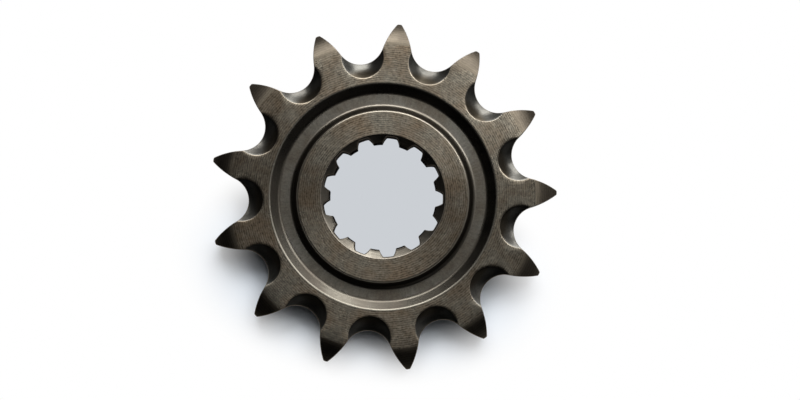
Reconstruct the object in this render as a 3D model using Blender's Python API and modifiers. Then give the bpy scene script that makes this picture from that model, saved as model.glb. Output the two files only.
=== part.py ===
"""Front drive sprocket of a motorcycle, for a 520 roller chain.

The sprocket is one machined and hardened steel piece: a splined hub, a web between
two turned recesses, and a ring of chain teeth with a round mud-relief scoop on both
faces of every tooth gap. Its axis is +Z, and the origin lies on the axis at the chain
line, midway between the two tooth faces.
"""

import math

import bmesh
import bpy
from mathutils import Matrix, Vector

MM = 0.001

# The chain that the teeth run in
CHAIN_PITCH = 15.875 * MM
ROLLER_DIAMETER = 10.16 * MM
CHAIN_INNER_WIDTH = 6.35 * MM
CHAIN_SIDE_CLEARANCE = 0.45 * MM

# Chain teeth, seen along the axis
TOOTH_COUNT = 13
FIRST_TOOTH_ANGLE = math.radians(84.5)
SEAT_CLEARANCE = 0.05 * MM
SEAT_ANGLE = math.radians(122.0)
FLANK_RADIUS = 17.2 * MM
TIP_ABOVE_PITCH = 2.98 * MM

# Side relief that thins the teeth towards their tips
RELIEF_BELOW_PITCH = 1.47 * MM
RELIEF_START_SLOPE = math.radians(12.0)
RELIEF_ARC_RADIUS = 15.9 * MM

# Mud-relief scoops, cut by a ball-nosed tool into both faces of each gap
SCOOP_REACH = 2.69 * MM
SCOOP_MOUTH_RADIUS = 4.25 * MM
SCOOP_BALL_RADIUS = 6.0 * MM

# Recess turned into both faces, between the tooth ring and the hub
RIM_LAND = 1.5 * MM
RECESS_DEPTH = 1.5 * MM
RECESS_WALL_RUN = 2.25 * MM
RECESS_WALL_FILLET = 1.2 * MM

# Hub
HUB_DIAMETER = 36.0 * MM
HUB_LENGTH = 7.5 * MM
HUB_WALL_RUN = 1.0 * MM
HUB_RIM_CHAMFER = 0.4 * MM
HUB_FOOT_FILLET = 0.7 * MM

# Splined bore, with involute flanks
SPLINE_COUNT = 13
SPLINE_MAJOR_DIAMETER = 25.0 * MM
SPLINE_TOOTH_HEIGHT = 1.4 * MM
SPLINE_PRESSURE_ANGLE = math.radians(20.0)
SPLINE_PROFILE_SHIFT = 0.8
SPLINE_TURN = math.radians(-3.15)
COUNTERSINK_MARGIN = 0.55 * MM
COUNTERSINK_SLOPE = math.radians(30.0)

# How finely round shapes are drawn
TURNED_STEPS_PER_TOOTH = 5
SEAT_STEPS = 9
FLANK_STEPS = 5
TIP_STEPS = 2
RELIEF_STEPS = 4
FILLET_STEPS = 2
SPLINE_FLANK_STEPS = 3
SPLINE_ARC_STEPS = 2
SCOOP_SEGMENTS = 20
SCOOP_RINGS = 16

# How far a cutter reaches past what it cuts, and how near two points are the same point
CUTTER_MARGIN = 1.0 * MM
WELD_DISTANCE = 0.001 * MM

STEEL_COLOUR = (0.36, 0.33, 0.29, 1.0)
STEEL_ROUGHNESS = 0.38
STEEL_METALLIC = 1.0
SMOOTH_BELOW_ANGLE = math.radians(28.0)

# Sizes that follow from the ones above
PITCH_RADIUS = CHAIN_PITCH / (2.0 * math.sin(math.pi / TOOTH_COUNT))
ROOT_RADIUS = PITCH_RADIUS - ROLLER_DIAMETER / 2.0
SEAT_RADIUS = ROLLER_DIAMETER / 2.0 + SEAT_CLEARANCE
TIP_RADIUS = PITCH_RADIUS + TIP_ABOVE_PITCH
TOOTH_FACE_Z = (CHAIN_INNER_WIDTH - CHAIN_SIDE_CLEARANCE) / 2.0
HUB_FACE_Z = HUB_LENGTH / 2.0
SCOOP_INNER_RADIUS = ROOT_RADIUS - SCOOP_REACH
RECESS_OUTER_RADIUS = SCOOP_INNER_RADIUS - RIM_LAND
RECESS_FLOOR_Z = TOOTH_FACE_Z - RECESS_DEPTH
SPLINE_MAJOR_RADIUS = SPLINE_MAJOR_DIAMETER / 2.0
SPLINE_MINOR_RADIUS = SPLINE_MAJOR_RADIUS - SPLINE_TOOTH_HEIGHT
SPLINE_MODULE = SPLINE_MAJOR_DIAMETER / (SPLINE_COUNT + 2)
COUNTERSINK_RADIUS = SPLINE_MAJOR_RADIUS + COUNTERSINK_MARGIN


def clear_scene():
    """Removes every object that the scene starts with."""
    for obj in list(bpy.data.objects):
        bpy.data.objects.remove(obj, do_unlink=True)


def new_collection(name, hidden=False):
    """A collection under the scene's own, left out of renders if hidden."""
    collection = bpy.data.collections.new(name)
    collection.hide_render = hidden
    bpy.context.scene.collection.children.link(collection)
    return collection


def on_circle(radius, angle):
    """The point at this radius and angle about the axis."""
    return Vector((radius * math.cos(angle), radius * math.sin(angle)))


def arc(centre, radius, start, end, steps):
    """Points along an arc from one angle to another, with both ends."""
    spread = [start + (end - start) * i / steps for i in range(steps + 1)]
    return [centre + on_circle(radius, angle) for angle in spread]


def fillet(before, corner, after, radius, steps):
    """The points of a fillet that rounds one corner of a profile."""
    to_before = (before - corner).normalized()
    to_after = (after - corner).normalized()
    half_angle = to_before.angle(to_after) / 2.0
    centre = corner + (to_before + to_after).normalized() * (radius / math.sin(half_angle))
    setback = radius / math.tan(half_angle)
    first = corner + to_before * setback - centre
    last = corner + to_after * setback - centre
    turn = first.angle_signed(last)
    return [centre + Matrix.Rotation(-turn * i / steps, 2) @ first for i in range(steps + 1)]


def flank_arc():
    """Centre, first angle and last angle of one tooth flank, for the gap that faces +X.

    The flank leaves the roller seat without a kink. It ends at the tip circle or, on a
    tooth that comes to a point below it, where it meets the middle of its tooth.
    """
    seat_end = math.pi - SEAT_ANGLE / 2.0
    seat_centre = Vector((ROOT_RADIUS + SEAT_RADIUS, 0.0))
    centre = seat_centre + on_circle(SEAT_RADIUS + FLANK_RADIUS, seat_end)
    away = math.atan2(centre.y, centre.x)
    cosine = (TIP_RADIUS**2 - centre.length**2 - FLANK_RADIUS**2) / (2.0 * centre.length * FLANK_RADIUS)
    at_tip = away - math.acos(cosine)
    middle = math.pi / TOOTH_COUNT
    at_middle = middle - math.asin(centre.length * math.sin(away - middle) / FLANK_RADIUS)
    return centre, seat_end - math.pi, min(at_tip, at_middle)


def tooth_ring_outline():
    """The outline of all teeth: roller seats, flanks and tip lands, anticlockwise."""
    half_pitch = math.pi / TOOTH_COUNT
    centre, flank_start, flank_end = flank_arc()
    seat_centre = Vector((ROOT_RADIUS + SEAT_RADIUS, 0.0))
    seat_end = math.pi - SEAT_ANGLE / 2.0
    flank = arc(centre, FLANK_RADIUS, flank_start, flank_end, FLANK_STEPS)
    seat = arc(seat_centre, SEAT_RADIUS, 2.0 * math.pi - seat_end, seat_end, SEAT_STEPS)
    far_flank = [Vector((point.x, -point.y)) for point in reversed(flank)]
    corner = flank[-1]
    corner_angle = math.atan2(corner.y, corner.x)
    tip = arc(Vector((0.0, 0.0)), corner.length, corner_angle, 2.0 * half_pitch - corner_angle, TIP_STEPS)
    one_gap = far_flank[:-1] + seat + flank[1:] + tip[1:-1]
    points = []
    for i in range(TOOTH_COUNT):
        turn = Matrix.Rotation(FIRST_TOOTH_ANGLE - half_pitch + 2.0 * half_pitch * i, 2)
        points.extend(turn @ point for point in one_gap)
    return points


def involute(angle):
    """The involute function of a pressure angle."""
    return math.tan(angle) - angle


def spline_space_half_angle(radius):
    """Half the angle that one spline space covers at a radius."""
    reference_diameter = SPLINE_MODULE * SPLINE_COUNT
    base_radius = reference_diameter / 2.0 * math.cos(SPLINE_PRESSURE_ANGLE)
    shift = 2.0 * SPLINE_PROFILE_SHIFT * math.tan(SPLINE_PRESSURE_ANGLE)
    space = SPLINE_MODULE * (math.pi / 2.0 + shift)
    here = math.acos(base_radius / radius)
    return space / reference_diameter + involute(SPLINE_PRESSURE_ANGLE) - involute(here)


def spline_bore_outline():
    """The outline of the bore: spline spaces out to the major circle, anticlockwise."""
    origin = Vector((0.0, 0.0))
    pitch_angle = 2.0 * math.pi / SPLINE_COUNT
    radii = [
        SPLINE_MINOR_RADIUS + SPLINE_TOOTH_HEIGHT * i / SPLINE_FLANK_STEPS
        for i in range(SPLINE_FLANK_STEPS + 1)
    ]
    rising = [on_circle(radius, -spline_space_half_angle(radius)) for radius in radii]
    falling = [Vector((point.x, -point.y)) for point in reversed(rising)]
    top = spline_space_half_angle(SPLINE_MAJOR_RADIUS)
    foot = spline_space_half_angle(SPLINE_MINOR_RADIUS)
    crown = arc(origin, SPLINE_MAJOR_RADIUS, -top, top, SPLINE_ARC_STEPS)
    land = arc(origin, SPLINE_MINOR_RADIUS, foot, pitch_angle - foot, SPLINE_ARC_STEPS)
    one_space = rising + crown[1:-1] + falling + land[1:-1]
    points = []
    for i in range(SPLINE_COUNT):
        turn = Matrix.Rotation(FIRST_TOOTH_ANGLE + SPLINE_TURN + pitch_angle * i, 2)
        points.extend(turn @ point for point in one_space)
    return points


def relief_profile():
    """Radius and height along the side relief of the teeth, from its start to past the tips."""
    start = Vector((PITCH_RADIUS - RELIEF_BELOW_PITCH, TOOTH_FACE_Z))
    centre = start - RELIEF_ARC_RADIUS * Vector((math.sin(RELIEF_START_SLOPE), math.cos(RELIEF_START_SLOPE)))
    past_tip = math.acos((TIP_RADIUS + CUTTER_MARGIN - centre.x) / RELIEF_ARC_RADIUS)
    return arc(centre, RELIEF_ARC_RADIUS, math.pi / 2.0 - RELIEF_START_SLOPE, past_tip, RELIEF_STEPS)


def upper_profile():
    """Radius and height of the turned shape above the chain line, from the axis outwards."""
    dish_radius = SPLINE_MINOR_RADIUS - CUTTER_MARGIN
    dish_depth = (COUNTERSINK_RADIUS - dish_radius) * math.tan(COUNTERSINK_SLOPE)
    hub_radius = HUB_DIAMETER / 2.0
    hub_rim = Vector((hub_radius, HUB_FACE_Z - HUB_RIM_CHAMFER))
    hub_foot = Vector((hub_radius + HUB_WALL_RUN, RECESS_FLOOR_Z))
    wall_foot = Vector((RECESS_OUTER_RADIUS - RECESS_WALL_RUN, RECESS_FLOOR_Z))
    wall_top = Vector((RECESS_OUTER_RADIUS, TOOTH_FACE_Z))
    return [
        Vector((0.0, HUB_FACE_Z - dish_depth)),
        Vector((dish_radius, HUB_FACE_Z - dish_depth)),
        Vector((COUNTERSINK_RADIUS, HUB_FACE_Z)),
        Vector((hub_radius - HUB_RIM_CHAMFER, HUB_FACE_Z)),
        hub_rim,
        *fillet(hub_rim, hub_foot, wall_foot, HUB_FOOT_FILLET, FILLET_STEPS),
        *fillet(hub_foot, wall_foot, wall_top, RECESS_WALL_FILLET, FILLET_STEPS),
        wall_top,
        *relief_profile(),
    ]


def turned_blank(name, collection):
    """The blank as it leaves the lathe: a profile turned about the axis."""
    upper = upper_profile()
    lower = [Vector((point.x, -point.y)) for point in reversed(upper)]
    shape = bmesh.new()
    verts = [shape.verts.new((point.x, 0.0, point.y)) for point in upper + lower]
    for first, second in zip(verts, verts[1:]):
        shape.edges.new((first, second))
    mesh = bpy.data.meshes.new(name)
    shape.to_mesh(mesh)
    shape.free()
    blank = bpy.data.objects.new(name, mesh)
    collection.objects.link(blank)
    screw = blank.modifiers.new("turned", "SCREW")
    screw.axis = "Z"
    screw.steps = TOOTH_COUNT * TURNED_STEPS_PER_TOOTH
    screw.render_steps = screw.steps
    screw.use_merge_vertices = True
    screw.merge_threshold = WELD_DISTANCE
    return blank


def set_as_cutter(obj):
    """Shows a cutter as wires and keeps it out of renders."""
    obj.hide_render = True
    obj.display_type = "WIRE"


def outline_prism(name, outline, half_height, collection):
    """A closed mesh made by extruding a flat outline both ways along the axis."""
    curve = bpy.data.curves.new(name + "_outline", "CURVE")
    curve.dimensions = "2D"
    curve.fill_mode = "BOTH"
    curve.extrude = half_height
    line = curve.splines.new("POLY")
    line.points.add(len(outline) - 1)
    for point, (x, y) in zip(line.points, outline):
        point.co = (x, y, 0.0, 1.0)
    line.use_cyclic_u = True
    guide = bpy.data.objects.new(name + "_outline", curve)
    collection.objects.link(guide)
    graph = bpy.context.evaluated_depsgraph_get()
    mesh = bpy.data.meshes.new_from_object(guide.evaluated_get(graph))
    mesh.name = name
    shape = bmesh.new()
    shape.from_mesh(mesh)
    bmesh.ops.remove_doubles(shape, verts=shape.verts, dist=WELD_DISTANCE)
    bmesh.ops.recalc_face_normals(shape, faces=shape.faces)
    shape.to_mesh(mesh)
    shape.free()
    prism = bpy.data.objects.new(name, mesh)
    prism.matrix_world = guide.matrix_world
    collection.objects.link(prism)
    bpy.data.objects.remove(guide, do_unlink=True)
    set_as_cutter(prism)
    return prism


def scoop_balls(name, collection):
    """The balls that cut the mud-relief scoops, over and under each tooth gap."""
    from_axis = SCOOP_INNER_RADIUS + SCOOP_MOUTH_RADIUS
    height = TOOTH_FACE_Z + math.sqrt(SCOOP_BALL_RADIUS**2 - SCOOP_MOUTH_RADIUS**2)
    shape = bmesh.new()
    for i in range(TOOTH_COUNT):
        angle = FIRST_TOOTH_ANGLE + (2 * i + 1) * math.pi / TOOTH_COUNT
        turn = Matrix.Rotation(angle, 4, "Z")
        for side in (1.0, -1.0):
            place = turn @ Matrix.Translation((from_axis, 0.0, side * height))
            bmesh.ops.create_uvsphere(
                shape,
                u_segments=SCOOP_SEGMENTS,
                v_segments=SCOOP_RINGS,
                radius=SCOOP_BALL_RADIUS,
                matrix=place,
            )
    mesh = bpy.data.meshes.new(name)
    shape.to_mesh(mesh)
    shape.free()
    balls = bpy.data.objects.new(name, mesh)
    collection.objects.link(balls)
    set_as_cutter(balls)
    return balls


def cut(obj, tool, operation):
    """Adds an exact Boolean of the object with a cutter."""
    modifier = obj.modifiers.new(tool.name, "BOOLEAN")
    modifier.object = tool
    modifier.operation = operation
    modifier.solver = "EXACT"


def settle(obj):
    """Turns an object's modifiers into plain mesh, shaded smooth except at real edges."""
    graph = bpy.context.evaluated_depsgraph_get()
    mesh = bpy.data.meshes.new_from_object(obj.evaluated_get(graph))
    mesh.name = obj.name
    obj.modifiers.clear()
    obj.data = mesh
    mesh.shade_smooth()
    mesh.set_sharp_from_angle(angle=SMOOTH_BELOW_ANGLE)


def steel():
    """Case-hardened steel as it comes from the lathe, oiled to a warm brown-grey."""
    material = bpy.data.materials.new("hardened_steel")
    material.use_nodes = True
    shader = material.node_tree.nodes["Principled BSDF"]
    shader.inputs["Base Color"].default_value = STEEL_COLOUR
    shader.inputs["Roughness"].default_value = STEEL_ROUGHNESS
    shader.inputs["Metallic"].default_value = STEEL_METALLIC
    return material


def build():
    """Makes the sprocket from a turned blank, its teeth, its scoops and its splined bore."""
    clear_scene()
    parts = new_collection("front_sprocket")
    cutters = new_collection("cutters", hidden=True)
    tall = HUB_FACE_Z + CUTTER_MARGIN
    sprocket = turned_blank("sprocket", parts)
    cut(sprocket, outline_prism("tooth_ring", tooth_ring_outline(), tall, cutters), "INTERSECT")
    cut(sprocket, outline_prism("spline_bore", spline_bore_outline(), tall, cutters), "DIFFERENCE")
    cut(sprocket, scoop_balls("mud_scoops", cutters), "DIFFERENCE")
    settle(sprocket)
    sprocket.data.materials.clear()
    sprocket.data.materials.append(steel())


build()
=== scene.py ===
"""Looks of a motorcycle's front drive sprocket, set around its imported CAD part.

The sprocket is one machined piece of steel with as many spline teeth in its bore as chain
teeth on its rim. One sector of it, between the middles of two chain teeth, is meshed from
the rules of its design and then repeated about the axis. Sizes are millimetres until a
mesh is made. A sector's own frame has +X through the middle of its tooth gap.
"""

import logging
import math
from collections.abc import Callable
from dataclasses import dataclass, field
from enum import Enum
from typing import Any

import bmesh
import bpy
from mathutils import Matrix, Quaternion, Vector


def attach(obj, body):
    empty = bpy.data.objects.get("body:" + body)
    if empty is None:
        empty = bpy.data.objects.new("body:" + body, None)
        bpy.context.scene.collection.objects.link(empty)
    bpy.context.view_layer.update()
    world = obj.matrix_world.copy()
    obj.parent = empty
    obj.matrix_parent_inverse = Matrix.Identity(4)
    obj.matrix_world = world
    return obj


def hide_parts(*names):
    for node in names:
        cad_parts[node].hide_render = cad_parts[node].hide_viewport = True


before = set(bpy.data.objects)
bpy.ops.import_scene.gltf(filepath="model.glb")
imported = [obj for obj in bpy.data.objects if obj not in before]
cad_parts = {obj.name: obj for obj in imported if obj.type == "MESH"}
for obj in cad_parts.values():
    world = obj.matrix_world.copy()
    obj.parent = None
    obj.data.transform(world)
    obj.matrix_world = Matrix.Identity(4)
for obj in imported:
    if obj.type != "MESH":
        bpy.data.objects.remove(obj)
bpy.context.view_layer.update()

MM = 0.001
WELD = 0.001 * MM
LOG = logging.getLogger("sprocket")
Socket = bpy.types.NodeSocket

# The chain teeth, and the spline teeth as well, so that one sector holds one of each.
TOOTH_COUNT = 13
# How high the tooth faces and the hub's faces lie over mid-thickness.
FACE_Z = 2.95
HUB_Z = 3.75


class Finish(Enum):
    """How a stretch of the surface was cut, as numbered on the faces of the mesh."""

    TURNED_FACE = 0
    RECESS_FLOOR = 1
    MILLED_SCOOP = 2
    CUT_FLANK = 3
    SPLINE_SPACE = 4
    TIP_RELIEF = 5
    FORM_CUT = 6
    RECESS_WALL = 7
    HUB_WALL = 8
    SPLINE_LAND = 9


class Lay(Enum):
    """The way that tool marks run over a surface."""

    ROUND_THE_AXIS = "rings about the sprocket's axis"
    OUT_FROM_AXIS = "short strokes out from the axis"
    LEVEL = "rings at one height"
    ALONG_AXIS = "strokes along the axis"


@dataclass(frozen=True)
class Spot:
    """One vertex, in millimetres, with how far its edge is worn bright, from 0 to 1."""

    x: float
    y: float
    z: float
    wear: float = 0.0

    def flat(self) -> Vector:
        """The vertex seen along the axis."""
        return Vector((self.x, self.y))

    def mirrored(self) -> "Spot":
        """The same vertex on the other side of the sector's middle."""
        return Spot(self.x, -self.y, self.z, self.wear)


@dataclass(frozen=True)
class RimPoint:
    """A point of an outline seen along the axis, with the normal that leads off the steel."""

    place: Vector
    normal: Vector

    def inset(self, depth: float) -> Vector:
        """The point this far inside the steel."""
        return self.place - self.normal * depth


def linear(colour: str) -> tuple[float, float, float, float]:
    """Turns an sRGB colour into linear light.

    Args:
        colour: six hex digits after a #.

    Returns:
        Red, green, blue and an alpha of 1.
    """
    shares = [int(colour[i : i + 2], 16) / 255.0 for i in (1, 3, 5)]
    red, green, blue = (s / 12.92 if s <= 0.04045 else ((s + 0.055) / 1.055) ** 2.4 for s in shares)
    return red, green, blue, 1.0


def add(
    tree: bpy.types.NodeTree, kind: str, inputs: dict[int | str, Any] | None = None, **settings: Any
) -> bpy.types.Node:
    """Adds a node with its settings and links.

    Args:
        tree: the node tree that gets the node.
        kind: Blender's name for the kind of node.
        inputs: for each input's name or number, a plain value or the socket that feeds it.
        settings: properties of the node itself.

    Returns:
        The new node.
    """
    node = tree.nodes.new(kind)
    for name, value in settings.items():
        setattr(node, name, value)
    for key, value in (inputs or {}).items():
        if isinstance(value, Socket):
            tree.links.new(value, node.inputs[key])
        else:
            node.inputs[key].default_value = value
    return node


def put_in_scene(name: str, data: bpy.types.ID) -> bpy.types.Object:
    """Makes an object of new data and links it to the scene.

    Args:
        name: the object's name.
        data: its mesh, light or camera.

    Returns:
        The object, at the origin.
    """
    made = bpy.data.objects.new(name, data)
    bpy.context.scene.collection.objects.link(made)
    return made


def along_axis(tree: bpy.types.NodeTree, place: Socket) -> tuple[Socket, Socket]:
    """Looks at a place along the sprocket's axis.

    Args:
        tree: the material's node tree.
        place: the place on the surface.

    Returns:
        The place with no height, and its distance from the axis.
    """
    level = {0: place, 1: (1.0, 1.0, 0.0)}
    flat = add(tree, "ShaderNodeVectorMath", level, operation="MULTIPLY").outputs[0]
    return flat, add(tree, "ShaderNodeVectorMath", {0: flat}, operation="LENGTH").outputs["Value"]


def at_angle(radius: float, angle: float) -> Vector:
    """The point at this radius and angle about the axis."""
    return Vector((radius * math.cos(angle), radius * math.sin(angle)))


def angle_of(place: Vector) -> float:
    """The angle of a point about the axis."""
    return math.atan2(place.y, place.x)


def between(first: float, last: float, steps: int) -> list[float]:
    """Evenly spaced numbers from first to last, with both."""
    return [first + (last - first) * i / steps for i in range(steps + 1)]


def mix(first: float, last: float, share: float) -> float:
    """The number that lies this share of the way from first to last."""
    return first + (last - first) * share


def soft_min(a: float, b: float, reach: float) -> float:
    """The lower of two heights, eased where they lie within reach of each other."""
    near = max(reach - abs(a - b), 0.0) / reach
    return min(a, b) - near * near * reach / 4.0


def rounded(before: Vector, corner: Vector, after: Vector, radius: float, steps: int) -> list[Vector]:
    """Rounds one corner of a profile.

    Args:
        before: the profile's point ahead of the corner.
        corner: the corner itself.
        after: the profile's point past the corner.
        radius: of the arc that replaces the corner.
        steps: how many pieces the arc has.

    Returns:
        The points of the arc, with both ends.
    """
    to_before = (before - corner).normalized()
    to_after = (after - corner).normalized()
    half = to_before.angle(to_after) / 2.0
    centre = corner + (to_before + to_after).normalized() * (radius / math.sin(half))
    setback = radius / math.tan(half)
    first = corner + to_before * setback - centre
    turn = first.angle_signed(corner + to_after * setback - centre)
    return [centre + Matrix.Rotation(-turn * i / steps, 2) @ first for i in range(steps + 1)]


@dataclass
class EdgeBreak:
    """The small rounding between a flat face and the wall that drops from it."""

    radius: float
    steps: int
    wear: float
    wall_rows: int = 3

    def climb(self, rim: RimPoint, top: Callable[[Vector], float]) -> list[Spot]:
        """Climbs from mid-thickness up the wall and over its edge.

        Args:
            rim: the point of the outline to climb at.
            top: a function that gives the face's height over a point.

        Returns:
            The vertices from the bottom of the wall to the inner end of the rounding.
        """
        edge = top(rim.place) - self.radius
        spots = [Spot(*rim.place, edge * i / self.wall_rows) for i in range(self.wall_rows)]
        for i in range(self.steps + 1):
            lean = math.pi / 2.0 * (1.0 - i / self.steps)
            place = rim.inset(self.radius * (1.0 - math.sin(lean)))
            height = top(place) - self.radius * (1.0 - math.cos(lean))
            spots.append(Spot(*place, height, self.wear * math.sin(math.pi * i / self.steps)))
        return spots


@dataclass
class Skin:
    """Gathers the faces of one sector, front and back at once."""

    shape: bmesh.types.BMesh = field(default_factory=bmesh.new)

    def __post_init__(self) -> None:
        """Makes the layers that become the mesh's attributes."""
        self.wear = self.shape.verts.layers.float.new("wear")
        self.finish = self.shape.faces.layers.int.new("finish")

    def lay(self, rows: list[list[Spot]], finishes: list[Finish], turned: bool = False) -> None:
        """Covers a grid of vertices with faces, on both sides of mid-thickness.

        Args:
            rows: the grid, row by row from the outline inwards.
            finishes: the finish of each strip between two rows.
            turned: whether the columns run clockwise.
        """
        for side in (1.0, -1.0):
            grid = []
            for row in rows:
                verts = [self.shape.verts.new((s.x * MM, s.y * MM, side * s.z * MM)) for s in row]
                for vert, spot in zip(verts, row):
                    vert[self.wear] = spot.wear
                grid.append(verts)
            for lower, upper, finish in zip(grid, grid[1:], finishes):
                for a, b, c, d in zip(lower, lower[1:], upper[1:], upper):
                    corners = (a, b, c, d) if turned == (side < 0.0) else (d, c, b, a)
                    self.shape.faces.new(corners)[self.finish] = finish.value


@dataclass
class ChainTeeth:
    """The ring of teeth for a 520 roller chain, with a scoop in each face of every gap."""

    count: int = TOOTH_COUNT
    first_angle: float = math.radians(84.5)
    chain_pitch: float = 15.875
    roller: float = 10.16
    seat_clearance: float = 0.05
    seat_angle: float = math.radians(122.0)
    flank_radius: float = 17.2
    tip_above_pitch: float = 3.22
    tip_corner: float = 0.4
    face_z: float = FACE_Z
    relief_below_pitch: float = 1.27
    relief_slope: float = math.radians(12.0)
    relief_arc: float = 12.1
    relief_ease: float = 0.3
    scoop_reach: float = 3.087
    scoop_mouth: float = 4.45
    scoop_ball: float = 6.0
    mouth_slope: float = math.radians(31.0)
    mouth_ease: float = 0.16
    gap_columns: int = 14
    seat_steps: int = 2
    flank_shares: tuple[float, ...] = (0.4, 0.7, 0.88)
    relief_steps: tuple[float, ...] = (0.0, 0.08, 0.2, 0.4)
    flank_rows: int = 12
    corner_steps: int = 4

    def __post_init__(self) -> None:
        """Works out what follows from the sizes."""
        self.half_pitch = math.pi / self.count
        self.pitch_radius = self.chain_pitch / (2.0 * math.sin(self.half_pitch))
        self.root_radius = self.pitch_radius - self.roller / 2.0
        self.seat_radius = self.roller / 2.0 + self.seat_clearance
        self.tip_radius = self.pitch_radius + self.tip_above_pitch
        self.relief_start = self.pitch_radius - self.relief_below_pitch
        self.seat_centre = Vector((self.root_radius + self.seat_radius, 0.0))
        self.seat_end = math.pi - self.seat_angle / 2.0
        self.scoop_centre = Vector((self.root_radius - self.scoop_reach + self.scoop_mouth, 0.0))
        to_flank = at_angle(self.seat_radius + self.flank_radius, self.seat_end)
        self.flank_centre = self.seat_centre + to_flank
        self.apart = self.seat_centre.x - self.scoop_centre.x
        beyond = self.scoop_mouth**2 - self.seat_radius**2 - self.apart**2
        self.mouth_end = math.acos(beyond / (2.0 * self.seat_radius * self.apart))
        self.ball_reach = self.scoop_ball * math.sin(self.mouth_slope)

    def top(self, place: Vector) -> float:
        """Height of the upper surface over a point of the sector.

        Args:
            place: the point, in the sector's own frame.

        Returns:
            The lowest of the tooth face, the side relief and the scoop, eased into each other.
        """
        radius = place.length
        centre_x = self.relief_start - self.relief_arc * math.sin(self.relief_slope)
        centre_z = self.face_z - self.relief_arc * math.cos(self.relief_slope)
        height = self.face_z
        if radius > centre_x:
            relief = centre_z + math.sqrt(self.relief_arc**2 - (radius - centre_x) ** 2)
            height = soft_min(height, relief, self.relief_ease)
        away = (place - self.scoop_centre).length
        return soft_min(height, self.scoop(away), self.mouth_ease)

    def spot(self, place: Vector, wear: float = 0.0) -> Spot:
        """The vertex of the upper surface over a point."""
        return Spot(*place, self.top(place), wear)

    def scoop(self, away: float) -> float:
        """Height of a scoop, which is a ball that runs out in a cone.

        Args:
            away: the distance from the scoop's middle, seen along the axis.

        Returns:
            The height over mid-thickness.
        """
        inside = min(away, self.ball_reach)
        cone = (max(away, self.ball_reach) - self.scoop_mouth) * math.tan(self.mouth_slope)
        sunk = self.scoop_ball * math.cos(self.mouth_slope)
        return self.face_z + cone + sunk - math.sqrt(self.scoop_ball**2 - inside**2)

    def seat(self, angle: float) -> RimPoint:
        """The point of the roller seat at this angle about the roller."""
        outwards = at_angle(1.0, angle)
        return RimPoint(self.seat_centre + outwards * self.seat_radius, -outwards)

    def flank_angle(self, radius: float, trim: float = 0.0) -> float:
        """Finds where the flank reaches a radius.

        Args:
            radius: the distance from the sprocket's axis.
            trim: how far the flank is drawn in.

        Returns:
            The angle about the flank's own centre.
        """
        arc = self.flank_radius - trim
        away = self.flank_centre.length
        cosine = (radius**2 - away**2 - arc**2) / (2.0 * away * arc)
        return angle_of(self.flank_centre) - math.acos(cosine)

    def flank(self, radius: float) -> RimPoint:
        """The point of the flank at this radius."""
        outwards = at_angle(1.0, self.flank_angle(radius))
        return RimPoint(self.flank_centre + outwards * self.flank_radius, outwards)

    def mouth(self, angle: float) -> float:
        """How far the scoop's mouth lies from the roller seat.

        Args:
            angle: where on the seat, about the roller.

        Returns:
            The distance into the steel, or 0 where the mouth has ended.
        """
        chord = math.sqrt(self.scoop_mouth**2 - (self.apart * math.sin(angle)) ** 2)
        return max(chord - self.apart * math.cos(angle) - self.seat_radius, 0.0)

    def side_rim(self) -> list[RimPoint]:
        """The outline from the end of the scoop's mouth to the middle of the tip's corner.

        Returns:
            The points, closest together where the side relief begins.
        """
        seat = [self.seat(a) for a in between(self.mouth_end, self.seat_end, self.seat_steps)]
        corner = self.tip_corner_arc()[: self.corner_steps // 2 + 1]
        low, relief, high = seat[-1].place.length, self.relief_start, corner[0].place.length
        radii = [mix(low, relief, share) for share in self.flank_shares]
        radii += [relief + step for step in self.relief_steps]
        radii += between(radii[-1], high, self.flank_rows)[1:-1]
        return seat + [self.flank(radius) for radius in radii] + corner

    def tip_corner_arc(self) -> list[RimPoint]:
        """The rounded corner between the flank and the tip.

        Returns:
            The points from the flank to the tip, with both ends.
        """
        reach = self.tip_radius - self.tip_corner
        start = self.flank_angle(reach, self.tip_corner)
        centre = self.flank_centre + at_angle(self.flank_radius - self.tip_corner, start)
        end = angle_of(centre)
        normals = [at_angle(1.0, angle) for angle in between(start, end, self.corner_steps)]
        return [RimPoint(centre + normal * self.tip_corner, normal) for normal in normals]

    def tip_rim(self, steps: int) -> list[RimPoint]:
        """The outline from the middle of the tip's corner to the middle of the tooth.

        Args:
            steps: how many pieces it has.

        Returns:
            The points, with both ends.
        """
        corner = self.tip_corner_arc()[self.corner_steps // 2 :]
        start = angle_of(corner[-1].place)
        angles = between(start, self.half_pitch, steps + 1 - len(corner))[1:]
        normals = [at_angle(1.0, angle) for angle in angles]
        return corner + [RimPoint(normal * self.tip_radius, normal) for normal in normals]


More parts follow.
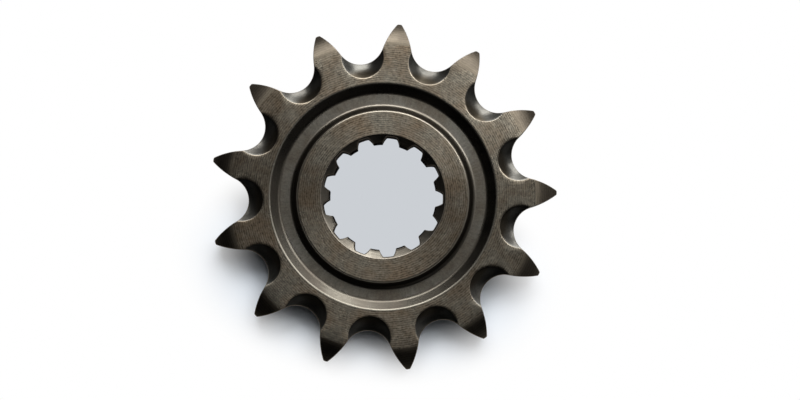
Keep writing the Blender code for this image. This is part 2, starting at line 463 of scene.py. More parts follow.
@dataclass
class Web:
    """What is turned between the teeth and the bore: a recess and the hub's raised ring."""

    face_z: float = FACE_Z
    floor_z: float = 1.766
    recess_radius: float = 23.633
    wall_run: float = 1.823
    recess_edge: float = 0.9
    wall_fillet: float = 1.216
    hub_radius: float = 17.9
    hub_z: float = HUB_Z
    hub_wall_run: float = 1.077
    hub_edge: float = 0.5
    foot_fillet: float = 0.9
    bore_mouth: float = 13.0
    bore_slope: float = math.radians(30.0)
    bore_edge: float = 0.25
    arc_steps: int = 6

    def recess_profile(self) -> list[tuple[Vector, float, Finish]]:
        """The turned profile from the tooth face inwards to the hub's face.

        Returns:
            Each point's radius and height, its wear, and the finish of the strip after it.
        """
        edge = Vector((self.recess_radius, self.face_z))
        corners = [
            edge + Vector((1.0, 0.0)),
            edge,
            Vector((self.recess_radius - self.wall_run, self.floor_z)),
            Vector((self.hub_radius + self.hub_wall_run, self.floor_z)),
            Vector((self.hub_radius, self.hub_z)),
            Vector((self.bore_mouth, self.hub_z)),
        ]
        turns = (
            (self.recess_edge, 1.0, Finish.RECESS_WALL, Finish.RECESS_WALL),
            (self.wall_fillet, 0.0, Finish.RECESS_WALL, Finish.RECESS_FLOOR),
            (self.foot_fillet, 0.0, Finish.FORM_CUT, Finish.HUB_WALL),
            (self.hub_edge, 1.0, Finish.TURNED_FACE, Finish.TURNED_FACE),
        )
        profile = []
        for i, (radius, wear, within, beyond) in enumerate(turns):
            arc = rounded(*corners[i : i + 3], radius, self.arc_steps)
            for step, point in enumerate(arc):
                finish = beyond if step == self.arc_steps else within
                profile.append((point, wear * math.sin(math.pi * step / self.arc_steps), finish))
        return profile

    def mouth_profile(self) -> list[Vector]:
        """The rounded edge between the hub's face and the bore's countersink.

        Returns:
            Each point's radius and height, from the outside in.
        """
        corner = Vector((self.bore_mouth, self.hub_z))
        before = corner + Vector((1.0, 0.0))
        after = corner - Vector((math.cos(self.bore_slope), math.sin(self.bore_slope)))
        return rounded(before, corner, after, self.bore_edge, self.arc_steps // 2)

    def countersink(self, place: Vector) -> float:
        """Height of the bore's countersink over a point."""
        return self.hub_z - (self.bore_mouth - place.length) * math.tan(self.bore_slope)


@dataclass
class SplineBore:
    """The bore's involute spline, seen along the axis."""

    count: int = TOOTH_COUNT
    turn: float = math.radians(-3.15)
    major_diameter: float = 25.2
    tooth_height: float = 1.5
    pressure_angle: float = math.radians(20.0)
    shift: float = 0.8
    land_corner: float = 0.18
    root_fillet: float = 0.3
    land_steps: int = 3
    corner_steps: int = 2
    flank_steps: int = 4

    def land_columns(self) -> int:
        """How many columns lie between the middle of a spline tooth and its corner."""
        return self.land_steps + self.corner_steps // 2

    def space_half_angle(self, radius: float) -> float:
        """Half the angle that one spline space covers.

        Args:
            radius: where it is measured.

        Returns:
            The angle about the axis.
        """
        module = self.major_diameter / (self.count + 2)
        diameter = module * self.count
        base = diameter / 2.0 * math.cos(self.pressure_angle)
        space = module * (math.pi / 2.0 + 2.0 * self.shift * math.tan(self.pressure_angle))
        here = math.acos(base / radius)
        involutes = math.tan(self.pressure_angle) - self.pressure_angle - math.tan(here) + here
        return space / diameter + involutes

    def half_rim(self) -> list[RimPoint]:
        """The outline from the middle of a spline tooth to the middle of the next space.

        Returns:
            The points about the tooth's own middle, with normals into the bore.
        """
        major = self.major_diameter / 2.0
        minor = major - self.tooth_height
        pitch = math.pi / self.count
        foot = at_angle(minor, pitch - self.space_half_angle(minor))
        head = at_angle(major, pitch - self.space_half_angle(major))
        first = rounded(at_angle(minor, 0.0), foot, head, self.land_corner, self.corner_steps)
        last = rounded(foot, head, at_angle(major, pitch), self.root_fillet, self.corner_steps)
        start, end = (angle_of(place) for place in (first[0], last[-1]))
        places = [at_angle(minor, a) for a in between(0.0, start, self.land_steps)[:-1]] + first
        for radius in between(first[-1].length, last[0].length, self.flank_steps)[1:-1]:
            places.append(at_angle(radius, pitch - self.space_half_angle(radius)))
        places += last + [at_angle(major, a) for a in between(end, pitch, self.land_steps)[1:]]
        rim = []
        for i, place in enumerate(places):
            ahead = places[min(i + 1, len(places) - 1)] - places[max(i - 1, 0)]
            normal = Vector((-ahead.y, ahead.x)).normalized()
            rim.append(RimPoint(place, -place.normalized() if i in (0, len(places) - 1) else normal))
        return rim


@dataclass
class SectorRepeat:
    """A Geometry Nodes tree that repeats one sector about the axis and welds the seams."""

    count: int
    weld: float = WELD

    def tree(self) -> tuple[bpy.types.NodeTree, dict[str, str]]:
        """Builds the tree.

        Returns:
            The tree, and the identifier of each named input.
        """
        tree = bpy.data.node_groups.new("sector_repeat", "GeometryNodeTree")
        made = {}
        kinds = {"Sector": "Geometry", "Tooth Count": "Int", "Weld Distance": "Float"}
        kinds |= {finish.name: "Material" for finish in Finish}
        for name, kind in kinds.items():
            socket = tree.interface.new_socket(name, in_out="INPUT", socket_type="NodeSocket" + kind)
            made[name] = socket.identifier
        tree.interface.new_socket("Sprocket", in_out="OUTPUT", socket_type="NodeSocketGeometry")
        given = add(tree, "NodeGroupInput").outputs
        points = add(tree, "GeometryNodePoints", {"Count": given["Tooth Count"]})
        step = add(tree, "ShaderNodeMath", {0: math.tau, 1: given["Tooth Count"]}, operation="DIVIDE")
        index = add(tree, "GeometryNodeInputIndex")
        turns = {0: index.outputs[0], 1: step.outputs[0]}
        angle = add(tree, "ShaderNodeMath", turns, operation="MULTIPLY")
        axis = {"Axis": (0.0, 0.0, 1.0), "Angle": angle.outputs[0]}
        turned = add(tree, "FunctionNodeAxisAngleToRotation", axis)
        placed = {"Points": points.outputs[0], "Rotation": turned.outputs[0]}
        copies = add(tree, "GeometryNodeInstanceOnPoints", placed | {"Instance": given["Sector"]})
        whole = add(tree, "GeometryNodeRealizeInstances", {"Geometry": copies.outputs[0]})
        joined = {"Geometry": whole.outputs[0], "Distance": given["Weld Distance"]}
        result = add(tree, "GeometryNodeMergeByDistance", joined)
        cut = add(tree, "GeometryNodeInputNamedAttribute", {"Name": "finish"}, data_type="INT")
        for finish in Finish:
            same = {2: cut.outputs["Attribute"], 3: finish.value}
            chosen = add(tree, "FunctionNodeCompare", same, data_type="INT", operation="EQUAL")
            dressed = {"Geometry": result.outputs[0], "Selection": chosen.outputs[0]}
            result = add(tree, "GeometryNodeSetMaterial", dressed | {"Material": given[finish.name]})
        add(tree, "NodeGroupOutput", {0: result.outputs[0]})
        return tree, made

    def apply(self, piece: bpy.types.Object, materials: dict[Finish, bpy.types.Material]) -> None:
        """Turns a sector's object into the whole piece, as a plain mesh.

        Args:
            piece: the object that holds one sector.
            materials: the material of each finish.
        """
        tree, names = self.tree()
        modifier = piece.modifiers.new("sector_repeat", "NODES")
        modifier.node_group = tree
        modifier[names["Tooth Count"]] = self.count
        modifier[names["Weld Distance"]] = self.weld
        for finish, material in materials.items():
            modifier[names[finish.name]] = material
        graph = bpy.context.evaluated_depsgraph_get()
        mesh = bpy.data.meshes.new_from_object(piece.evaluated_get(graph))
        mesh.name = piece.name
        piece.modifiers.remove(modifier)
        piece.data = mesh


# The stretch of a noise's values that the film's blotches are drawn from.
BLOTCH_RANGE = (0.35, 0.65)
# The same for shades, over the marks and the grain added up.
SHADE_RANGE = (0.6, 1.4)
# How far the roughness swings either way with the film.
ROUGHNESS_SWING = 0.04
# How many cells of noise make up one uneven mark.
CELLS_PER_MARK = 2.0
# How strokes are drawn out: over the place itself, or over an angle and a radius.
STROKES: dict[Lay, tuple[float, float, float]] = {
    Lay.ALONG_AXIS: (1.0, 1.0, 0.04),
    Lay.OUT_FROM_AXIS: (20.0, 0.25, 1.0),
}


@dataclass(frozen=True)
class Steel:
    """Case-hardened steel with the marks that one kind of tool leaves on it.

    Hardening and oil leave a warm brown-grey film, thinner and brighter where edges rub.

    Attributes:
        name: the material's name.
        colour: of the steel under a thin film.
        film: the colour where the film is thick.
        bare: the colour of a rubbed edge.
        lay: the way that the tool marks run.
        mark_pitch: from one mark to the next.
        mark_depth: of the marks, as bump.
        roughness: the middle of its range.
        stretch: how far the marks draw a highlight out, from 0 to 1.
        edge_roughness: of a rubbed edge.
        blotch_size: of the film's blotches.
        grain_size: of the grain in the film.
        regular: how even the rings are, from 0 to 1.
        sway_size: the length over which even rings sway.
        mark_length: of one mark along its ring.
        unevenness: how far marks and grain lighten and darken the steel.
        grazing: how bright the steel is at a grazing angle, from 0 to 1.
        radial_shade_colour: the colour nearer the axis, where painted shade makes it another.
        radial_shade_reach: the radii between which that painted shade fades out.
    """

    name: str
    colour: str
    film: str
    bare: str
    lay: Lay
    mark_pitch: float
    mark_depth: float
    roughness: float
    stretch: float = 0.0
    edge_roughness: float = 0.3
    blotch_size: float = 6.0
    grain_size: float = 0.35
    regular: float = 0.0
    sway_size: float = 1.5
    mark_length: float = 6.0
    unevenness: float = 0.2
    grazing: float = 1.0
    radial_shade_colour: str = ""
    radial_shade_reach: tuple[float, float] = (0.0, 0.0)

    def material(self) -> bpy.types.Material:
        """Builds the material.

        Returns:
            A metal whose film is blotched and grained, with tool marks as bump.
        """
        material = bpy.data.materials.new(self.name)
        material.use_nodes = True
        tree = material.node_tree
        shader = tree.nodes["Principled BSDF"]
        shader.inputs["Metallic"].default_value = 1.0
        shader.inputs["Specular Tint"].default_value = (self.grazing, self.grazing, self.grazing, 1.0)
        metres = {0: add(tree, "ShaderNodeTexCoord").outputs["Object"], "Scale": 1.0 / MM}
        place = add(tree, "ShaderNodeVectorMath", metres, operation="SCALE").outputs[0]
        flat, radius = along_axis(tree, place)
        if self.stretch > 0.0:
            tree.links.new(flat, shader.inputs["Tangent"])
            shader.inputs["Anisotropic"].default_value = self.stretch
        marks = self.marks(tree, place, radius)
        film, hue = self.film_colour(tree, place, radius)
        grain = {"Vector": place, "Scale": 1.0 / self.grain_size, "Detail": 2.0}
        grains = add(tree, "ShaderNodeTexNoise", grain).outputs["Fac"]
        uneven = add(tree, "ShaderNodeMath", {0: marks, 1: grains}, operation="ADD").outputs[0]
        shades = {"Value": uneven, "From Min": SHADE_RANGE[0], "From Max": SHADE_RANGE[1]}
        shades |= {"To Min": 1.0 - self.unevenness, "To Max": 1.0 + self.unevenness}
        tint = {0: hue, "Scale": add(tree, "ShaderNodeMapRange", shades).outputs[0]}
        steel = add(tree, "ShaderNodeVectorMath", tint, operation="SCALE").outputs[0]
        wear = add(tree, "ShaderNodeAttribute", attribute_name="wear").outputs["Fac"]
        worn = {0: wear, 6: steel, 7: linear(self.bare)}
        rubbed = add(tree, "ShaderNodeMix", worn, data_type="RGBA").outputs[2]
        tree.links.new(rubbed, shader.inputs["Base Color"])
        low, high = self.roughness - ROUGHNESS_SWING, self.roughness + ROUGHNESS_SWING
        dull = {"Value": film, "To Min": low, "To Max": high}
        rough = add(tree, "ShaderNodeMapRange", dull).outputs[0]
        smooth = add(tree, "ShaderNodeMix", {0: wear, 2: rough, 3: self.edge_roughness}).outputs[0]
        tree.links.new(smooth, shader.inputs["Roughness"])
        bump = add(tree, "ShaderNodeBump", {"Height": marks, "Distance": self.mark_depth * MM})
        tree.links.new(bump.outputs[0], shader.inputs["Normal"])
        return material

    def film_colour(
        self, tree: bpy.types.NodeTree, place: Socket, radius: Socket
    ) -> tuple[Socket, Socket]:
        """Blotches the film, and paints shade that darkens or lightens it nearer the axis.

        Args:
            tree: the material's node tree.
            place: the place on the piece, in millimetres.
            radius: its distance from the axis, in millimetres.

        Returns:
            How thick the film is, from 0 to 1, and its colour.
        """
        noise = {"Vector": place, "Scale": 1.0 / self.blotch_size, "Detail": 3.0, "Roughness": 0.6}
        blotches = add(tree, "ShaderNodeTexNoise", noise).outputs["Fac"]
        spread = {"Value": blotches, "From Min": BLOTCH_RANGE[0], "From Max": BLOTCH_RANGE[1]}
        film = add(tree, "ShaderNodeMapRange", spread).outputs[0]
        hues = {0: film, 6: linear(self.colour), 7: linear(self.film)}
        hue = add(tree, "ShaderNodeMix", hues, data_type="RGBA").outputs[2]
        # Painted shade: the colour fades along the radius into another nearer the axis.
        if self.radial_shade_colour:
            nearest, farthest = self.radial_shade_reach
            reach = {"Value": radius, "From Min": nearest, "From Max": farthest}
            outer = add(tree, "ShaderNodeMapRange", reach, interpolation_type="SMOOTHSTEP").outputs[0]
            hues = {0: outer, 6: linear(self.radial_shade_colour), 7: hue}
            hue = add(tree, "ShaderNodeMix", hues, data_type="RGBA").outputs[2]
        return film, hue

    def marks(self, tree: bpy.types.NodeTree, place: Socket, radius: Socket) -> Socket:
        """Draws the tool marks.

        Args:
            tree: the material's node tree.
            place: the place on the piece, in millimetres.
            radius: its distance from the axis, in millimetres.

        Returns:
            The marks' height, from 0 to 1.
        """
        split = add(tree, "ShaderNodeSeparateXYZ", {0: place}).outputs
        if self.lay in (Lay.ROUND_THE_AXIS, Lay.LEVEL):
            along = radius if self.lay is Lay.ROUND_THE_AXIS else split[2]
            ring = add(tree, "ShaderNodeCombineXYZ", {0: split[0], 1: split[1], 2: along}).outputs[0]
            scale = (1.0 / self.mark_length, 1.0 / self.mark_length, 1.0 / self.mark_pitch)
            drawn = add(tree, "ShaderNodeMapping", {"Vector": ring, "Scale": scale}).outputs[0]
            noise = {"Vector": drawn, "Scale": CELLS_PER_MARK, "Detail": 1.0}
            uneven = add(tree, "ShaderNodeTexNoise", noise).outputs["Fac"]
            noise = {"Vector": place, "Scale": 1.0 / self.sway_size, "Detail": 1.0}
            sway = add(tree, "ShaderNodeTexNoise", noise).outputs["Fac"]
            feed = {0: along, 1: 1.0 / self.mark_pitch, 2: sway}
            turns = add(tree, "ShaderNodeMath", feed, operation="MULTIPLY_ADD").outputs[0]
            phase = add(tree, "ShaderNodeMath", {0: turns, 1: math.tau}, operation="MULTIPLY")
            wave = add(tree, "ShaderNodeMath", {0: phase.outputs[0]}, operation="SINE").outputs[0]
            even = add(tree, "ShaderNodeMapRange", {"Value": wave, "From Min": -1.0}).outputs[0]
            return add(tree, "ShaderNodeMix", {0: self.regular, 2: uneven, 3: even}).outputs[0]
        if self.lay is Lay.OUT_FROM_AXIS:
            sides = {0: split[1], 1: split[0]}
            angle = add(tree, "ShaderNodeMath", sides, operation="ARCTAN2").outputs[0]
            place = add(tree, "ShaderNodeCombineXYZ", {0: angle, 1: radius}).outputs[0]
        strokes = {"Vector": place, "Scale": STROKES[self.lay]}
        drawn = add(tree, "ShaderNodeMapping", strokes).outputs[0]
        noise = {"Vector": drawn, "Scale": 1.0 / self.mark_pitch, "Detail": 2.0}
        return add(tree, "ShaderNodeTexNoise", noise).outputs["Fac"]


STEELS: dict[Finish, Steel] = {
    # Turned faces: fine rings from the lathe tool under a warm brown film, so that the light
    # draws out into streaks across them. A lathe's rings are often finer; these are drawn to show.
    Finish.TURNED_FACE: Steel(
        "turned_case_hardened_steel", colour="#726d62", film="#64594b", bare="#847e73",
        lay=Lay.ROUND_THE_AXIS, mark_pitch=0.45, mark_length=1.8, mark_depth=0.003,
        roughness=0.286, stretch=0.71, grain_size=0.45, unevenness=0.62, regular=0.35,
    ),
    # The recess floor keeps more of the grey scale from hardening, so it is cooler and duller.
    Finish.RECESS_FLOOR: Steel(
        "scaled_recess_steel", colour="#5b5953", film="#504b43", bare="#726d66",
        lay=Lay.OUT_FROM_AXIS, mark_pitch=0.5, mark_depth=0.006,
        roughness=0.513, stretch=0.21, unevenness=0.32,
    ),
    # Ball-milled scoops: smooth hollows with faint level rings, and painted shade nearer the axis.
    Finish.MILLED_SCOOP: Steel(
        "ball_milled_steel", colour="#53524e", film="#4c4a46", bare="#8e8476",
        lay=Lay.LEVEL, mark_pitch=0.2, mark_depth=0.002,
        roughness=0.32, radial_shade_colour="#3a352d", radial_shade_reach=(25.9, 27.5),
    ),
    # Flanks and seats: hobbed, with level feed marks one above the other.
    Finish.CUT_FLANK: Steel(
        "hobbed_steel", colour="#635b51", film="#534b43", bare="#8e8476",
        lay=Lay.LEVEL, mark_pitch=0.45, mark_depth=0.004, roughness=0.33,
    ),
    # Broached spaces: rough straight strokes along the axis, painted dark as shade inside the bore.
    Finish.SPLINE_SPACE: Steel(
        "broached_space_steel", colour="#403b35", film="#37332d", bare="#867c70",
        lay=Lay.ALONG_AXIS, mark_pitch=0.3, mark_depth=0.003, roughness=0.75, grazing=0.1,
    ),
    # Side relief of the tips: ground, evener than the faces; painted shade darkens it towards the
    # tip.
    Finish.TIP_RELIEF: Steel(
        "ground_relief_steel", colour="#504a41", film="#48423a", bare="#6e665b",
        lay=Lay.ROUND_THE_AXIS, mark_pitch=0.48, mark_depth=0.002, roughness=0.35,
        regular=0.45, radial_shade_colour="#5d564b", radial_shade_reach=(31.9, 33.4),
    ),
    # The bore's countersink and the hub's foot: cut to the form of the tool, so they are evener
    # and greyer than the faces.
    Finish.FORM_CUT: Steel(
        "form_cut_steel", colour="#635f57", film="#5d5850", bare="#7b746b",
        lay=Lay.ROUND_THE_AXIS, mark_pitch=0.3, mark_depth=0.002, roughness=0.3,
    ),
    # The recess wall: formed by the tool's nose, so it is smoother than the floor.
    Finish.RECESS_WALL: Steel(
        "formed_wall_steel", colour="#504d46", film="#4d4841", bare="#6d6960",
        lay=Lay.ROUND_THE_AXIS, mark_pitch=0.4, mark_depth=0.002, roughness=0.283,
    ),
    # The hub's wall: painted almost black, as shade on the steep wall below the hub's face.
    Finish.HUB_WALL: Steel(
        "shaded_hub_wall_steel", colour="#403b35", film="#39352f", bare="#615b52",
        lay=Lay.ROUND_THE_AXIS, mark_pitch=0.4, mark_depth=0.002, roughness=0.3,
    ),
    # Spline lands: left from the bored hole and dark, dim at a grazing angle as painted shade.
    Finish.SPLINE_LAND: Steel(
        "dark_land_steel", colour="#24211e", film="#1f1c1a", bare="#867c70",
        lay=Lay.ALONG_AXIS, mark_pitch=0.3, mark_depth=0.004, roughness=0.75, grazing=0.1,
    ),
}


@dataclass
class Sprocket:
    """The whole sprocket: a toothed ring, a turned web and hub, and a splined bore."""

    name: str = "front_sprocket"
    node: str = "sprocket"
    body: str = "root"
    slot: str = "hardened_steel"
    teeth: ChainTeeth = field(default_factory=ChainTeeth)
    web: Web = field(default_factory=Web)
    bore: SplineBore = field(default_factory=SplineBore)
    rim_edge: EdgeBreak = field(default_factory=lambda: EdgeBreak(radius=0.1, steps=3, wear=0.4))
    bore_edge: EdgeBreak = field(default_factory=lambda: EdgeBreak(radius=0.12, steps=3, wear=1.0))
    land_edge: EdgeBreak = field(default_factory=lambda: EdgeBreak(radius=0.24, steps=3, wear=0.0))
    # A row of vertices lies this close beside each rounding, so that it shades crisply.
    hold: float = 0.05
    scoop_rows: int = 6
    # Rows lie this far from the edge of a scoop's mouth, on both sides of it.
    mouth_offsets: tuple[float, ...] = (0.06, 0.13, 0.28)
    land_rows: int = 3
    hub_rows: int = 4
    cone_rows: int = 3
    # From this far below the side relief, the rows of a tooth's face run about the axis.
    level_below: float = 0.3
    # Room for rounding errors where the relief begins.
    slack: float = 0.01

    def build(self) -> bpy.types.Object:
        """Builds the sprocket, dresses it and puts it in the CAD part's place.

        Returns:
            The finished piece.
        """
        mesh = bpy.data.meshes.new(self.name)
        self.sector(mesh)
        piece = put_in_scene(self.name, mesh)
        materials = {finish: steel.material() for finish, steel in STEELS.items()}
        mesh.materials.append(materials[Finish.TURNED_FACE])
        SectorRepeat(self.teeth.count).apply(piece, materials)
        piece.data.shade_smooth()
        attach(piece, self.body)
        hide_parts(self.node)
        return piece

    def sector(self, mesh: bpy.types.Mesh) -> None:
        """Meshes one sector, front and back.

        Args:
            mesh: the mesh that gets the sector.
        """
        skin = Skin()
        columns, finishes = self.columns()
        rows = [list(row) for row in zip(*columns)]
        wall = len(finishes) - self.bore_edge.wall_rows - self.bore_edge.steps
        skin.lay(rows[: wall + 1], finishes[:wall])
        middle, land = self.teeth.gap_columns, self.bore.land_columns()
        splits = (0, middle - land, middle + land, len(columns))
        kinds = (Finish.SPLINE_SPACE, Finish.SPLINE_LAND, Finish.SPLINE_SPACE)
        for first, last, finish in zip(splits, splits[1:], kinds):
            strip = [row[first : last + 1] for row in rows[wall:]]
            skin.lay(strip, [finish] * (len(strip) - 1))
        inner = columns[-1][self.rim_rows() : self.land_end()]
        for mirrored in (False, True):
            for grid, cuts in self.half_tooth(inner):
                if mirrored:
                    grid = [[spot.mirrored() for spot in row] for row in grid]
                skin.lay(grid, cuts, mirrored)
        shape = skin.shape
        bmesh.ops.remove_doubles(shape, verts=shape.verts, dist=WELD)
        turn = Matrix.Rotation(self.teeth.first_angle - self.teeth.half_pitch, 3, "Z")
        bmesh.ops.rotate(shape, verts=shape.verts, matrix=turn)
        shape.to_mesh(mesh)
        shape.free()

    def rim_rows(self) -> int:
        """How many rows of a column belong to the outline's wall and rounding."""
        return self.rim_edge.wall_rows + self.rim_edge.steps + 1

    def land_end(self) -> int:
        """The row of a column at which the recess begins."""
        return self.rim_rows() + self.scoop_rows + 2 * len(self.mouth_offsets) + self.land_rows + 2

    def columns(self) -> tuple[list[list[Spot]], list[Finish]]:
        """The columns that run from the roller seat across the web and into the bore.

        Returns:
            Each column's vertices from the outside in, and the finish of each strip of rows.
        """
        teeth = self.teeth
        count = teeth.gap_columns
        bore_rim = self.bore.half_rim()
        columns = []
        for k in range(-count, count + 1):
            share = abs(k) / count
            side = -1.0 if k < 0 else 1.0
            outer, finishes = self.gap_column(share)
            if k < 0:
                outer = [spot.mirrored() for spot in outer]
            rim = bore_rim[abs(k)]
            turn = Matrix.Rotation(self.bore.turn, 2) @ Matrix(((1.0, 0.0), (0.0, side)))
            rim = RimPoint(turn @ rim.place, turn @ rim.normal)
            edge = self.land_edge if abs(k) < self.bore.land_columns() else self.bore_edge
            inner, more = self.web_column(side * share * teeth.half_pitch, rim, edge)
            columns.append(outer + inner)
        return columns, finishes + more

    def gap_column(self, share: float) -> tuple[list[Spot], list[Finish]]:
        """One column from the roller seat through the scoop to the edge of the recess.

        Args:
            share: how far along the seat, from 0 at its bottom to 1 where the scoop's mouth ends.

        Returns:
            The vertices, and the finish of the strip after each of them.
        """
        teeth = self.teeth
        angle = mix(math.pi, teeth.mouth_end, share)
        rim = teeth.seat(angle)
        spots = self.rim_edge.climb(rim, teeth.top)
        finishes = [Finish.CUT_FLANK] * (len(spots) - 1) + [Finish.MILLED_SCOOP]
        start = self.rim_edge.radius + self.hold
        mouth = max(teeth.mouth(angle), start)
        room = min(1.0, (mouth - start) / (2.0 * self.mouth_offsets[-1]))
        depths = between(start, mouth - room * self.mouth_offsets[-1], self.scoop_rows)
        depths += [mouth - room * offset for offset in reversed(self.mouth_offsets[:-1])] + [mouth]
        for depth in depths:
            spots.append(teeth.spot(rim.inset(depth), 1.0 if depth == mouth else 0.0))
            finishes.append(Finish.MILLED_SCOOP)
        finishes[-1] = Finish.TURNED_FACE
        edge = rim.inset(mouth)
        recess = at_angle(self.web.recess_profile()[0][0].x + self.hold, share * teeth.half_pitch)
        away = (recess - edge).normalized()
        places = [edge + away * offset for offset in self.mouth_offsets]
        places += [places[-1].lerp(recess, s) for s in between(0.0, 1.0, self.land_rows + 1)[1:]]
        spots += [teeth.spot(place) for place in places]
        finishes += [Finish.TURNED_FACE] * len(places)
        return spots, finishes

    def web_column(
        self, angle: float, rim: RimPoint, edge: EdgeBreak
    ) -> tuple[list[Spot], list[Finish]]:
        """One column from the edge of the recess to mid-thickness in the bore.

        Args:
            angle: of the column about the axis, over the recess.
            rim: the point of the bore's outline where it ends.
            edge: the rounding at the top of the bore's wall.

        Returns:
            The vertices, and the finish of the strip after each of them.
        """
        web = self.web
        spots, finishes = [], []
        for point, wear, finish in web.recess_profile():
            spots.append(Spot(*at_angle(point.x, angle), point.y, wear))
            finishes.append(finish)
        mouth = web.mouth_profile()
        outside = web.recess_profile()[-1][0].x - self.hold
        inside = mouth[0].x + self.hold
        bore_angle = angle_of(rim.place)
        for share in between(0.0, 1.0, self.hub_rows):
            here = mix(angle, bore_angle, share)
            spots.append(Spot(*at_angle(mix(outside, inside, share), here), web.hub_z))
            finishes.append(Finish.TURNED_FACE)
        for step, point in enumerate(mouth):
            wear = math.sin(math.pi * step / (len(mouth) - 1))
            spots.append(Spot(*at_angle(point.x, bore_angle), point.y, wear))
            finishes.append(Finish.FORM_CUT)
        climb = edge.climb(rim, web.countersink)
        for share in between(0.0, 1.0, self.cone_rows)[1:-1]:
            place = at_angle(mouth[-1].x, bore_angle).lerp(climb[-1].flat(), share)
            spots.append(Spot(*place, web.countersink(place)))
            finishes.append(Finish.FORM_CUT)
        spots += reversed(climb)
        finishes += [Finish.SPLINE_SPACE] * (len(climb) - 1)
        return spots, finishes

    def half_tooth(self, inner: list[Spot]) -> list[tuple[list[list[Spot]], list[Finish]]]:
        """The half tooth beside a gap: its wall and its face.

        Args:
            inner: the last column's vertices from its rounding to the edge of the recess.

        Returns:
            Grids of vertices, each with the finishes of its strips.
        """
        teeth = self.teeth
        foot = list(dict.fromkeys(inner))
        steps = len(foot) - 1
        side = teeth.side_rim()
        tip = teeth.tip_rim(steps)
        hold = self.rim_edge.radius + self.hold
        climbs = []
        for rim in side + tip[1:]:
            climbs.append(self.rim_edge.climb(rim, teeth.top) + [teeth.spot(rim.inset(hold))])
        wall = [list(row) for row in zip(*climbs)]
        low = foot[-1].flat().length
        spread = [(spot.flat() - foot[0].flat()).length for spot in foot]
        below = [teeth.relief_start - rim.place.length for rim in side]
        level = next(i for i, depth in enumerate(below) if depth < self.level_below)
        rows = [foot]
        for i, rim in enumerate(side[1:-1], 1):
            start = rim.inset(hold)
            radius = start.length
            angle = angle_of(start)
            done = min(i / level, 1.0)
            row = []
            for j in range(steps + 1):
                share = mix(spread[j] / spread[-1], j / steps, done)
                reach = mix(radius, mix(low, radius, done), share)
                row.append(teeth.spot(at_angle(reach, mix(angle, teeth.half_pitch, share))))
            rows.append(row)
        rows.append([teeth.spot(rim.inset(hold)) for rim in tip])
        face = [list(reversed(row)) for row in rows]
        plain = next(i for i, depth in enumerate(below) if depth < self.slack)
        finishes = [Finish.TURNED_FACE] * plain + [Finish.TIP_RELIEF] * (len(face) - 1 - plain)
        return [(wall, [Finish.CUT_FLANK] * (len(wall) - 1)), (face, finishes)]


@dataclass(frozen=True)
class Softbox:
    """A soft area light that faces the sprocket.

    Its turn is measured from +Y towards +X, and its roll about the line to the sprocket.
    """

    name: str
    distance: float
    from_zenith: float
    turn: float
    width: float
    height: float
    roll: float
    radiance: float

    def build(self) -> None:
        """Hangs the light at its place, with the power that gives its radiance."""
        light = bpy.data.lights.new(self.name, "AREA")
        light.shape = "RECTANGLE"
        light.size, light.size_y = self.width * MM, self.height * MM
        light.energy = self.radiance * math.pi * light.size * light.size_y
        low = math.sin(self.from_zenith)
        high = math.cos(self.from_zenith)
        away = Vector((low * math.sin(self.turn), low * math.cos(self.turn), high))
        lamp = put_in_scene(self.name, light)
        lamp.location = away * self.distance * MM
        facing = away.to_track_quat("Z", "Y") @ Quaternion((0.0, 0.0, 1.0), self.roll)
        lamp.rotation_euler = facing.to_euler()
        lamp.visible_camera = False


# The key and the overhead box light the faces, the side box and the strip draw bright arcs on
# the turned steel, and the low fill keeps the faces readable from behind.
LIGHTS: tuple[Softbox, ...] = (
    Softbox(
        "key_softbox", distance=500.0, from_zenith=math.radians(47.0), turn=math.radians(4.4),
        width=472.0, height=220.0, roll=math.radians(23.0), radiance=8.2,
    ),
    Softbox(
        "overhead_softbox", distance=500.0, from_zenith=math.radians(26.5), turn=math.radians(4.0),
        width=354.0, height=405.0, roll=math.radians(-26.0), radiance=0.82,
    ),
    Softbox(
        "side_softbox", distance=500.0, from_zenith=math.radians(37.1), turn=math.radians(75.8),
        width=353.0, height=860.0, roll=math.radians(-11.0), radiance=0.301,
    ),
    Softbox(
        "strip_softbox", distance=330.0, from_zenith=math.radians(39.4), turn=math.radians(49.8),
        width=108.0, height=191.0, roll=math.radians(-1.0), radiance=6.0,
    ),
    Softbox(
        "low_fill_softbox", distance=500.0, from_zenith=math.radians(75.0), turn=math.radians(135.0),
        width=700.0, height=240.0, roll=0.0, radiance=0.2,
    ),
)


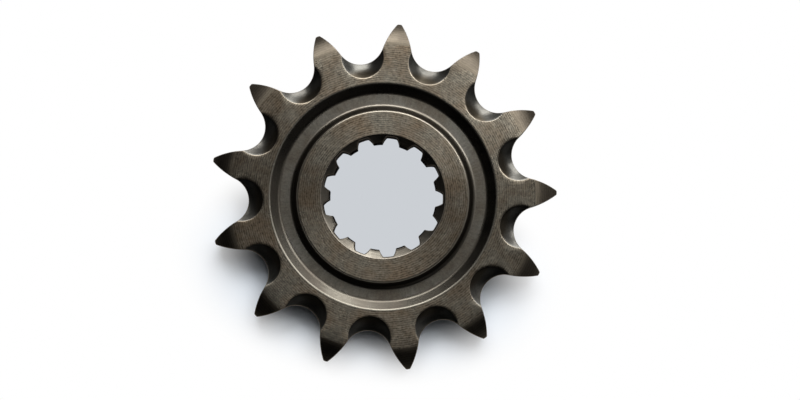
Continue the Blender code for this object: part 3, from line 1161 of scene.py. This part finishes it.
@dataclass
class Studio:
    """The pale sweep, the soft lights and the camera."""

    floor_z: float = -HUB_Z
    floor_radius: float = 1200.0
    sweep_rise: float = 210.0
    sweep_steps: int = 8
    sweep_sides: int = 128
    # The paper's pale blue is painted shade colour: it tints the shadows, while lit paper turns near
    # white.
    paper: str = "#e7eff8"
    # Through the bore, the paper is an even pale grey out to this radius.
    bore_paper: str = "#cbcfd4"
    bore_radius: float = 13.0
    # Inside this oval the paper takes light and shadow; nearer its edge painted light turns it white.
    shadow_centre: tuple[float, float, float] = (-3.4, -15.5, 0.0)
    shadow_spread: tuple[float, float, float] = (42.2, 24.5, 1.0)
    shadow_turn: float = math.radians(-8.0)
    white_from: float = 0.52
    white_to: float = 1.0
    world_colour: str = "#ffffff"
    world_strength: float = 0.004
    camera_height: float = 480.0
    camera_tilt: float = math.radians(2.3)
    aim_z: float = 1.4
    view_width: float = 167.3
    aim: tuple[float, float] = (3.56, -0.65)
    sensor: float = 36.0
    nearest: float = 10.0

    def build(self) -> None:
        """Builds the sweep, the lights, the world and the camera."""
        self.sweep()
        for light in LIGHTS:
            light.build()
        self.world()
        self.camera()
        bpy.context.scene.view_settings.view_transform = "Standard"

    def sweep(self) -> None:
        """Lays a wide floor that curves up into a low wall all round."""
        shape = bmesh.new()
        turns = between(0.0, math.tau, self.sweep_sides)[:-1]
        below = None
        for lean in between(0.0, math.pi / 2.0, self.sweep_steps):
            radius = (self.floor_radius + self.sweep_rise * math.sin(lean)) * MM
            height = (self.floor_z + self.sweep_rise * (1.0 - math.cos(lean))) * MM
            row = [shape.verts.new((*at_angle(radius, turn), height)) for turn in turns]
            if below is None:
                shape.faces.new(row)
            else:
                for i, vert in enumerate(row):
                    shape.faces.new((below[i - 1], below[i], vert, row[i - 1]))
            below = row
        mesh = bpy.data.meshes.new("floor")
        bmesh.ops.recalc_face_normals(shape, faces=shape.faces)
        shape.to_mesh(mesh)
        shape.free()
        mesh.materials.append(self.sweep_material())
        floor = put_in_scene("floor", mesh)

    def sweep_material(self) -> bpy.types.Material:
        """White paper that takes the sprocket's shadow, with painted light whitening it farther out.

        Returns:
            The material, with an even pale grey seen through the bore.
        """
        paper = bpy.data.materials.new("matt_white_paper")
        paper.use_nodes = True
        tree = paper.node_tree
        matt = tree.nodes["Principled BSDF"]
        matt.inputs["Base Color"].default_value = linear(self.paper)
        matt.inputs["Roughness"].default_value = 1.0
        matt.inputs["Specular IOR Level"].default_value = 0.0
        flat, radius = along_axis(tree, add(tree, "ShaderNodeTexCoord").outputs["Object"])
        oval = {
            "Vector": flat,
            "Location": Vector(self.shadow_centre) * MM,
            "Rotation": (0.0, 0.0, self.shadow_turn),
            "Scale": Vector(self.shadow_spread) * MM,
        }
        shadow = add(tree, "ShaderNodeMapping", oval, vector_type="TEXTURE").outputs[0]
        away = add(tree, "ShaderNodeVectorMath", {0: shadow}, operation="LENGTH").outputs["Value"]
        fade = {"Value": away, "From Min": self.white_from, "From Max": self.white_to}
        far = add(tree, "ShaderNodeMapRange", fade, interpolation_type="SMOOTHSTEP").outputs[0]
        bore = {0: radius, 1: self.bore_radius * MM}
        near = add(tree, "ShaderNodeMath", bore, operation="LESS_THAN").outputs[0]
        plain = add(tree, "ShaderNodeMath", {0: far, 1: near}, operation="MAXIMUM").outputs[0]
        rays = add(tree, "ShaderNodeLightPath").outputs
        seen = rays["Is Camera Ray"]
        for kind in ("Is Glossy Ray", "Is Transmission Ray"):
            either = {0: seen, 1: rays[kind]}
            seen = add(tree, "ShaderNodeMath", either, operation="MAXIMUM").outputs[0]
        # Painted light: outside the oval, camera and glossy rays see a white glow over the paper's
        # shadow.
        share = add(tree, "ShaderNodeMath", {0: plain, 1: seen}, operation="MULTIPLY").outputs[0]
        shades = {0: near, 6: (1.0, 1.0, 1.0, 1.0), 7: linear(self.bore_paper)}
        colour = add(tree, "ShaderNodeMix", shades, data_type="RGBA").outputs[2]
        glow = add(tree, "ShaderNodeEmission", {"Color": colour}).outputs[0]
        both = add(tree, "ShaderNodeMixShader", {0: share, 1: matt.outputs[0], 2: glow}).outputs[0]
        tree.links.new(both, tree.nodes["Material Output"].inputs["Surface"])
        return paper

    def world(self) -> None:
        """Fills the room with a faint even light."""
        world = bpy.data.worlds.new("studio")
        world.use_nodes = True
        background = world.node_tree.nodes["Background"]
        background.inputs["Color"].default_value = linear(self.world_colour)
        background.inputs["Strength"].default_value = self.world_strength
        bpy.context.scene.world = world

    def camera(self) -> None:
        """Sets the camera over the sprocket's face, a little back from straight above."""
        camera = bpy.data.cameras.new("camera")
        camera.sensor_width = self.sensor
        camera.lens = self.sensor * self.camera_height / self.view_width
        camera.clip_start = self.nearest * MM
        view = put_in_scene("camera", camera)
        away = Vector((0.0, -math.sin(self.camera_tilt), math.cos(self.camera_tilt)))
        view.location = (Vector((*self.aim, self.aim_z)) + away * self.camera_height) * MM
        view.rotation_euler = (self.camera_tilt, 0.0, 0.0)
        bpy.context.scene.camera = view


def main() -> None:
    """Builds the sprocket and its studio, and reports the piece's count of faces."""
    logging.basicConfig(level=logging.INFO, format="%(message)s")
    piece = Sprocket().build()
    LOG.info("%s: %d faces", piece.name, len(piece.data.polygons))
    Studio().build()


if __name__ == "__main__":
    main()
